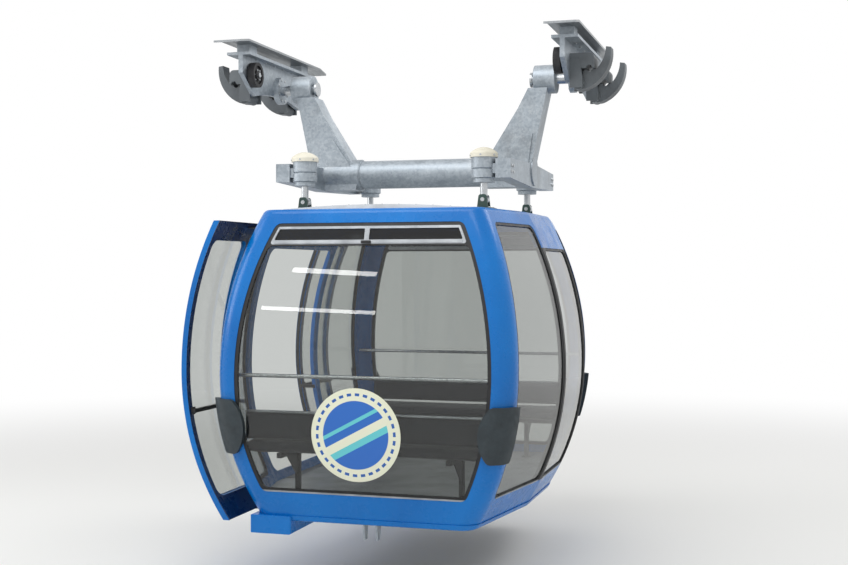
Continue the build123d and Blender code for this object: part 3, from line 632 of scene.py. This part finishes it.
def printedFilm():
    material, tree, shader, place = startMaterial("printedFilm", rough=0.35, coat=0.3)
    perHalf = 2 / emblemValues["across"]
    centred = addNode(tree, "ShaderNodeMapping", {
        "Location": (-middle - emblemValues["aside"], 0, -(under + emblemValues["high"])),
        "Scale": (1, 0, 1)}, {"Vector": place}).outputs["Vector"]
    slanted = addNode(tree, "ShaderNodeMapping", {
        "Rotation": (0, math.radians(emblemValues["slant"]), 0)}, {"Vector": centred})
    upright = addNode(tree, "ShaderNodeSeparateXYZ",
                      links={0: slanted.outputs["Vector"]}).outputs["Z"]
    upright = calculate(tree, "MULTIPLY", upright, perHalf)
    bands = ramp(tree, calculate(tree, "MULTIPLY_ADD", upright, 0.5, 0.5), [
        (at, linear(emblemValues[key])) for at, key in emblemValues["bands"]])
    bands.node.color_ramp.interpolation = "CONSTANT"
    away = addNode(tree, "ShaderNodeVectorMath", links={0: centred}, operation="LENGTH")
    radius = calculate(tree, "MULTIPLY", away.outputs["Value"], perHalf)
    edge, blur = emblemValues["ring"], emblemValues["ringBlur"]
    onRing = ramp(tree, radius, [(0.0, 0.0), (edge, 0.0), (edge + blur, 1.0), (1.0, 1.0)])
    ringed = blend(tree, onRing, bands, emblemValues["cream"])
    flat = addNode(tree, "ShaderNodeSeparateXYZ", links={0: centred})
    angle = calculate(tree, "ARCTAN2", flat.outputs["Z"], flat.outputs["X"])
    count = calculate(tree, "MULTIPLY", angle, emblemValues["dashes"] / (2 * math.pi))
    phase = calculate(tree, "FRACT", count)
    within = calculate(tree, "LESS_THAN", phase, emblemValues["dashShare"])
    belt = calculate(tree, "COMPARE", radius, emblemValues["dashMiddle"], emblemValues["dashHalf"])
    dashed = blend(tree, calculate(tree, "MULTIPLY", within, belt), ringed, emblemValues["line"])
    tree.links.new(dashed, shader.inputs["Base Color"])
    return material


def filmRings(bm, proud):
    # circles of points on the front pane, from the disc's middle to its rim
    rings = []
    for k in range(emblemValues["rings"] + 1):
        radius = emblemValues["across"] / 2 * k / emblemValues["rings"]
        ring = []
        for turn in range(emblemValues["segments"] if k else 1):
            a = 2 * math.pi * turn / emblemValues["segments"]
            start = (middle + emblemValues["aside"] + radius * math.cos(a), -rayValues["ahead"],
                     under + emblemValues["high"] + radius * math.sin(a))
            point, _ = hit("front_window", start, (0, 1, 0))
            ring.append(bm.verts.new(point - Vector((0, proud, 0))))
        rings.append(ring)
    return rings


def emblem():
    # a thin closed film laid on the curved glass: an outer face, an inner face and the rim
    bm = bmesh.new()
    rims = []
    for proud in (emblemValues["proud"], emblemValues["under"]):
        rings = filmRings(bm, proud)
        for inner, outer in zip(rings, rings[1:]):
            for k in range(len(outer)):
                after = (k + 1) % len(outer)
                if len(inner) == 1:
                    bm.faces.new((inner[0], outer[k], outer[after]))
                else:
                    bm.faces.new((inner[k], outer[k], outer[after], inner[after]))
        rims.append(rings[-1])
    front, back = rims
    for k in range(len(front)):
        after = (k + 1) % len(front)
        bm.faces.new((front[k], back[k], back[after], front[after]))
    finishPiece("frontDisc", bm, "blue_paint", material=printedFilm())


hangerBolts()
carriageBolts()
emblem()
print("bolts and emblem")


# strips, beads and other small fittings

fittingValues = {
    "sink": 0.001,                                  # how far a strip reaches into its surface
    "few": 3, "coarse": 25, "fine": 41,             # points along a strip
    "seams": (-0.35, 0.35), "seamWide": 0.05, "seamTall": 0.003,
    "rivetStep": 0.13, "rivetEdge": 0.05, "rivetCorner": 0.1,
    "ventWide": 0.024, "ventTall": 0.005, "ventHigh": 0.017, "ventEnd": 0.03,
    "ventScrews": 9, "ventScrewEnd": 0.06, "ventScrewEdge": 0.01,
    "latch": (0.04, 0.011), "latchDepth": (0.005, 0.018), "latchEdge": 0.003,
    "sealWide": 0.028, "sealDepth": (-0.004, 0.012), "sealInside": 0.0225, "sealEnd": 0.03,
    "sealTrace": 0.012,
    "sleeveEnd": 0.563, "bead": 0.007, "beadProud": 0.004, "beadSides": 48,
    "trackScrews": 15, "trackEdge": 0.025, "trackEnd": 0.12,
    "thresholdWide": 0.07, "thresholdTall": 0.003, "thresholdHalf": 0.6, "margin": 0.012,
    "ribs": 6, "ribSpan": 0.4, "ribWide": 0.005, "ribTall": 0.0055,
}


def roundProfile(radius, sides=10):
    return [(radius * math.cos(a), radius * math.sin(a)) for a in around(sides)]


def flatProfile(width, low, high):
    return [(-width / 2, low), (width / 2, low), (width / 2, high), (-width / 2, high)]


def addSweep(bm, path, ups, profile, closed=False):
    # a profile of (across, up) pairs carried along a path; ups are the surface's directions there
    rings = []
    count = len(path)
    for i in range(count):
        after = path[(i + 1) % count] if closed or i < count - 1 else path[i]
        before = path[i - 1] if closed or i > 0 else path[i]
        along = (after - before).normalized()
        up = (ups[i] - along * ups[i].dot(along)).normalized()
        across = along.cross(up)
        rings.append([bm.verts.new(path[i] + across * a + up * b) for a, b in profile])
    sides = len(profile)
    for i in range(count if closed else count - 1):
        ring, following = rings[i], rings[(i + 1) % count]
        for k in range(sides):
            after = (k + 1) % sides
            bm.faces.new((ring[k], ring[after], following[after], following[k]))
    if not closed:
        bm.faces.new(rings[0])
        bm.faces.new(rings[-1])


def addStrip(bm, name, starts, way, width, low, high):
    # a flat strip along the points where a row of rays meets a node
    found = [hit(name, start, way) for start in starts]
    found = [pair for pair in found if pair[0]]
    addSweep(bm, [point for point, _ in found], [normal for _, normal in found],
             flatProfile(width, low, high))


def threshold():
    # ribbed wear strip on the floor, just inside the doorway's sill
    low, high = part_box("floor_pan")
    wide = fittingValues["thresholdWide"]
    centre = low.x + fittingValues["margin"] + wide / 2
    strips = [(centre, wide, fittingValues["thresholdTall"])]
    span = wide * fittingValues["ribSpan"]
    for dx in spread(-span, span, fittingValues["ribs"]):
        strips.append((centre + dx, fittingValues["ribWide"], fittingValues["ribTall"]))
    half = fittingValues["thresholdHalf"]
    bm = bmesh.new()
    for x, width, tall in strips:
        starts = [(x, y, high.z + rayValues["close"])
                  for y in spread(-half, half, fittingValues["few"])]
        addStrip(bm, "floor_pan", starts, (0, 0, -1), width, 0, tall)
    finishPiece("doorThreshold", bm, "silver_trim")


def roofFittings():
    # two lapped seams along the roof, and a row of rivets round it
    low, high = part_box("roof_panel")
    above = high.z + rayValues["above"]
    edge, corner = fittingValues["rivetEdge"], fittingValues["rivetCorner"]
    seams, rivets = bmesh.new(), bmesh.new()
    for x in fittingValues["seams"]:
        starts = [(middle + x, y, above)
                  for y in spread(low.y + corner, high.y - corner, fittingValues["fine"])]
        addStrip(seams, "roof_panel", starts, (0, 0, -1), fittingValues["seamWide"],
                 -fittingValues["sink"], fittingValues["seamTall"])
    finishPiece("roofSeams", seams, "roof_white")
    columns = int((high.x - low.x - 2 * corner) / fittingValues["rivetStep"])
    rows = int((high.y - low.y - 2 * corner) / fittingValues["rivetStep"])
    spots = list(product(spread(low.x + corner, high.x - corner, columns),
                         (low.y + edge, high.y - edge)))
    spots += [(x, y) for y in spread(low.y + corner, high.y - corner, rows)
              for x in (low.x + edge, high.x - edge)]
    for x, y in spots:
        boltAt(rivets, "roof_panel", (x, y, above), (0, 0, -1), "rivet")
    finishPiece("roofRivets", rivets, "roof_white")


def ventFittings():
    # a bar, a row of screws and a latch on the vent frame at each end
    low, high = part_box("vent_frames")
    barHigh = low.z + fittingValues["ventHigh"]
    wide, tall = fittingValues["latch"]
    barEnd, screwEnd = fittingValues["ventEnd"], fittingValues["ventScrewEnd"]
    screwHigh = high.z - fittingValues["ventScrewEdge"]
    bars, screws, latches = bmesh.new(), bmesh.new(), bmesh.new()
    for end in signs:
        far, way = end * rayValues["aside"], (0, -end, 0)
        starts = [(x, far, barHigh)
                  for x in spread(low.x + barEnd, high.x - barEnd, fittingValues["coarse"])]
        addStrip(bars, "vent_frames", starts, way, fittingValues["ventWide"],
                 -fittingValues["sink"], fittingValues["ventTall"])
        for x in spread(low.x + screwEnd, high.x - screwEnd, fittingValues["ventScrews"]):
            boltAt(screws, "vent_frames", (x, far, screwHigh), way, "ventScrew")
        point, _ = hit("vent_frames", (middle, far, barHigh), way)
        near = sorted(point.y + end * depth for depth in fittingValues["latchDepth"])
        addBlock(latches, (middle - wide, near[0], point.z - tall),
                 (middle + wide, near[1], point.z + tall), fittingValues["latchEdge"])
    finishPiece("ventBars", bars, "silver_trim")
    finishPiece("ventScrews", screws, "machined_steel")
    finishPiece("ventLatches", latches, "black_steel")


def leafSeals():
    # rubber lips on the edges where the two door leaves meet when shut
    ends = fittingValues["sealEnd"]
    bm = bmesh.new()
    for end, name in zip(signs, ("door_leaf_front", "door_leaf_rear")):
        low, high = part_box(name)
        inner = high.y if end < 0 else low.y
        beside = low.x - rayValues["beside"]
        traced = inner + end * fittingValues["sealTrace"]
        path = []
        for z in spread(low.z + ends, high.z - ends, fittingValues["fine"]):
            point, _ = hit(name, (beside, traced, z), (1, 0, 0))
            if point:
                path.append(Vector((point.x + fittingValues["sealInside"], inner, point.z)))
        addSweep(bm, path, [Vector((0, -end, 0))] * len(path),
                 flatProfile(fittingValues["sealWide"], *fittingValues["sealDepth"]))
    finishPiece("leafSeals", bm, "seal_rubber")


def damperFittings():
    # screws round the skirt of each cap
    low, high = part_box("damper_caps")
    bm = bmesh.new()
    for side, end in product(signs, signs):
        centre = Vector((middle + side * damperValues["aside"], end * damperValues["along"],
                         low.z + damperValues["screwHigh"]))
        for a in around(damperValues["capScrews"], damperValues["capTurn"]):
            way = Vector((math.cos(a), math.sin(a), 0))
            boltAt(bm, "damper_caps", centre + way * rayValues["close"], -way, "screw", way)
    finishPiece("capScrews", bm, "machined_steel")


def weldBeads():
    # beads where the arms' sleeves end on the cross tube
    low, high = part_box("cross_tube")
    radius = (high.z - low.z) / 2 + fittingValues["beadProud"]
    ups = [Vector((0, math.cos(a), math.sin(a))) for a in around(fittingValues["beadSides"])]
    bm = bmesh.new()
    for side in signs:
        centre = Vector((middle + side * fittingValues["sleeveEnd"], 0, (high.z + low.z) / 2))
        path = [centre + up * radius for up in ups]
        addSweep(bm, path, ups, roundProfile(fittingValues["bead"]), closed=True)
    finishPiece("weldBeads", bm, "galvanised")


def trackScrews():
    low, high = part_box("door_track")
    edge, end = fittingValues["trackEdge"], fittingValues["trackEnd"]
    bm = bmesh.new()
    rows = spread(low.y + end, high.y - end, fittingValues["trackScrews"])
    for y, z in product(rows, (low.z + edge, high.z - edge)):
        boltAt(bm, "door_track", (low.x - rayValues["beside"], y, z), (1, 0, 0), "screw")
    finishPiece("trackScrews", bm, "machined_steel")


threshold()
hubBolts()
roofFittings()
ventFittings()
leafSeals()
damperFittings()
weldBeads()
trackScrews()
print("fittings")


# seats

seatValues = {
    "voxel": 0.014, "pressure": 3.5, "steps": 20,
    "cushionCap": 0.016, "backCap": 0.01,           # the furthest that padding swells
    "cuts": (24, 6, 3), "corner": 0.02,
    "high": 0.64, "thick": 0.095, "backDepth": 0.065, "gap": 0.004,
    # how far the pads stay inside the solid's faces
    "inside": 0.01, "topInside": 0.012, "bottomInside": 0.006, "rearInside": 0.008,
    "piping": 0.009, "pipingIn": 0.002, "pipingEnd": 0.02,
}


def padBlock(name, low, high):
    # a rounded block, cut into panels for the padding to swell between
    bm = bmesh.new()
    addBlock(bm, low, high, seatValues["corner"], 3)
    for i, count in enumerate(seatValues["cuts"]):
        way = [float(i == axis) for axis in range(3)]
        for k in range(1, count):
            spot = [0, 0, 0]
            spot[i] = low[i] + (high[i] - low[i]) * k / count
            bmesh.ops.bisect_plane(bm, geom=bm.verts[:] + bm.edges[:] + bm.faces[:],
                                   plane_co=spot, plane_no=way)
    return finishPiece(name, bm, "seat_cover")


def swell(piece, cap):
    # a short cloth run with air inside, in which no point moves more than the cap
    remesh = piece.modifiers.new("remesh", "REMESH")
    remesh.mode = "VOXEL"
    remesh.voxel_size = seatValues["voxel"]
    dg = bpy.context.evaluated_depsgraph_get()
    mesh = bpy.data.meshes.new_from_object(piece.evaluated_get(dg))
    piece.modifiers.clear()
    old = piece.data
    piece.data = mesh
    bpy.data.meshes.remove(old)
    before = [vert.co.copy() for vert in piece.data.vertices]
    cloth = piece.modifiers.new("cloth", "CLOTH")
    cloth.settings.use_pressure = True
    cloth.settings.uniform_pressure_force = seatValues["pressure"]
    cloth.settings.effector_weights.gravity = 0
    for step in range(1, seatValues["steps"] + 1):
        scene.frame_set(step)
    dg = bpy.context.evaluated_depsgraph_get()
    after = [vert.co.copy() for vert in piece.evaluated_get(dg).data.vertices]
    piece.modifiers.clear()
    scene.frame_set(1)
    for vert, start, end in zip(piece.data.vertices, before, after):
        move = end - start
        if move.length > cap:
            move = move.normalized() * cap
        vert.co = start + move
    piece.data.materials.clear()
    piece.data.materials.append(materials["seat_cover"])
    for face in piece.data.polygons:
        face.use_smooth = True
    divide = piece.modifiers.new("divide", "SUBSURF")
    divide.levels = divide.render_levels = 1


def mirrorOf(piece, name):
    # the same pad for the rear seat, mirrored front to rear
    mirrored = piece.copy()
    mirrored.data = piece.data.copy()
    mirrored.name = name
    bpy.context.collection.objects.link(mirrored)
    bm = bmesh.new()
    bm.from_mesh(mirrored.data)
    bmesh.ops.scale(bm, verts=bm.verts, vec=(1, -1, 1))
    bmesh.ops.reverse_faces(bm, faces=bm.faces)
    bm.to_mesh(mirrored.data)
    bm.free()
    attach(mirrored, "cabin")
    return mirrored


def addPad(name, low, high, cap):
    # one pad of the front seat, and the same for the rear seat
    piece = padBlock(name + "Front", low, high)
    swell(piece, cap)
    mirrored = mirrorOf(piece, name + "Rear")
    return piece, mirrored


def seatPiping(low, high):
    # sewn edges along the top of each back, front and rear
    shadeMask, ends = seatValues["pipingIn"], seatValues["pipingEnd"]
    bm = bmesh.new()
    for end, y in product((1, -1), (low[1] + shadeMask, high[1] - shadeMask)):
        path = [Vector((x, end * y, high[2] - shadeMask))
                for x in spread(low[0] + ends, high[0] - ends, fittingValues["coarse"])]
        addSweep(bm, path, [Vector((0, 0, 1))] * len(path), roundProfile(seatValues["piping"]))
    finishPiece("seatPiping", bm, "silver_trim")


def seats():
    low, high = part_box("seat_front")
    inside, topInside = seatValues["inside"], seatValues["topInside"]
    left, right = low.x + inside, high.x - inside
    top = under + seatValues["high"]
    bottom = top - seatValues["thick"] + seatValues["bottomInside"]
    piece, mirrored = addPad("seatCushion", (left, low.y + inside, bottom),
                             (right, high.y - topInside, top - topInside),
                             seatValues["cushionCap"])
    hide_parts("seat_front")
    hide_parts("seat_rear")
    backLow = (left, low.y + seatValues["rearInside"], top + seatValues["gap"])
    backHigh = (right, low.y + seatValues["backDepth"] - inside, high.z - topInside)
    addPad("seatBack", backLow, backHigh, seatValues["backCap"])
    seatPiping(backLow, backHigh)


seats()
print("seats")


# the end

print("scene built")
